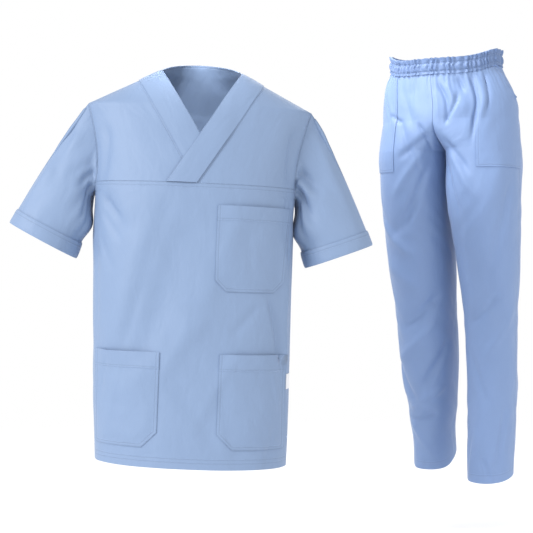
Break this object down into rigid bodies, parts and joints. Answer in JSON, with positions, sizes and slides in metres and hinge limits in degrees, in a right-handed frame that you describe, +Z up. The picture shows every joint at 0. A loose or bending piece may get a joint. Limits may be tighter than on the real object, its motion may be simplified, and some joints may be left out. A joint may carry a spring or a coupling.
{
  "type": "medical scrubs",
  "caption": "Light blue short-sleeved V-neck tunic with patch pockets and elastic-waist trousers, filled out as worn and hollow inside.",
  "frame": {"origin": "midway between the two points where the tunic's neck meets its shoulder seams, where a wearer's shoulders hold it up", "axes": "+X to the wearer's left, -Y to the tunic's front, +Z up"},
  "size_m": [1.1054, 0.7896, 0.9989],
  "materials": {
    "tunic_cloth": "matt plain weave, light blue",
    "trouser_cloth": "matt plain weave, light blue",
    "waistband_cloth": "matt gathered plain weave, light blue",
    "white_tape": "matt plain tape, white"
  },
  "bodies": {
    "root": {"tunic_front": "tunic_cloth", "tunic_back": "tunic_cloth", "tunic_yoke_left": "tunic_cloth", "tunic_yoke_right": "tunic_cloth", "neck_band_right": "tunic_cloth", "neck_band_left": "tunic_cloth", "chest_pocket": "tunic_cloth", "hip_pocket_left": "tunic_cloth", "hip_pocket_right": "tunic_cloth", "side_tab": "white_tape", "sleeve_left": "tunic_cloth", "cuff_left": "tunic_cloth", "sleeve_right": "tunic_cloth", "cuff_right": "tunic_cloth", "trouser_front_left": "trouser_cloth", "trouser_back_left": "trouser_cloth", "slant_pocket_left": "trouser_cloth", "trouser_front_right": "trouser_cloth", "trouser_back_right": "trouser_cloth", "slant_pocket_right": "trouser_cloth", "waistband": "waistband_cloth"}
  },
  "joints": []
}
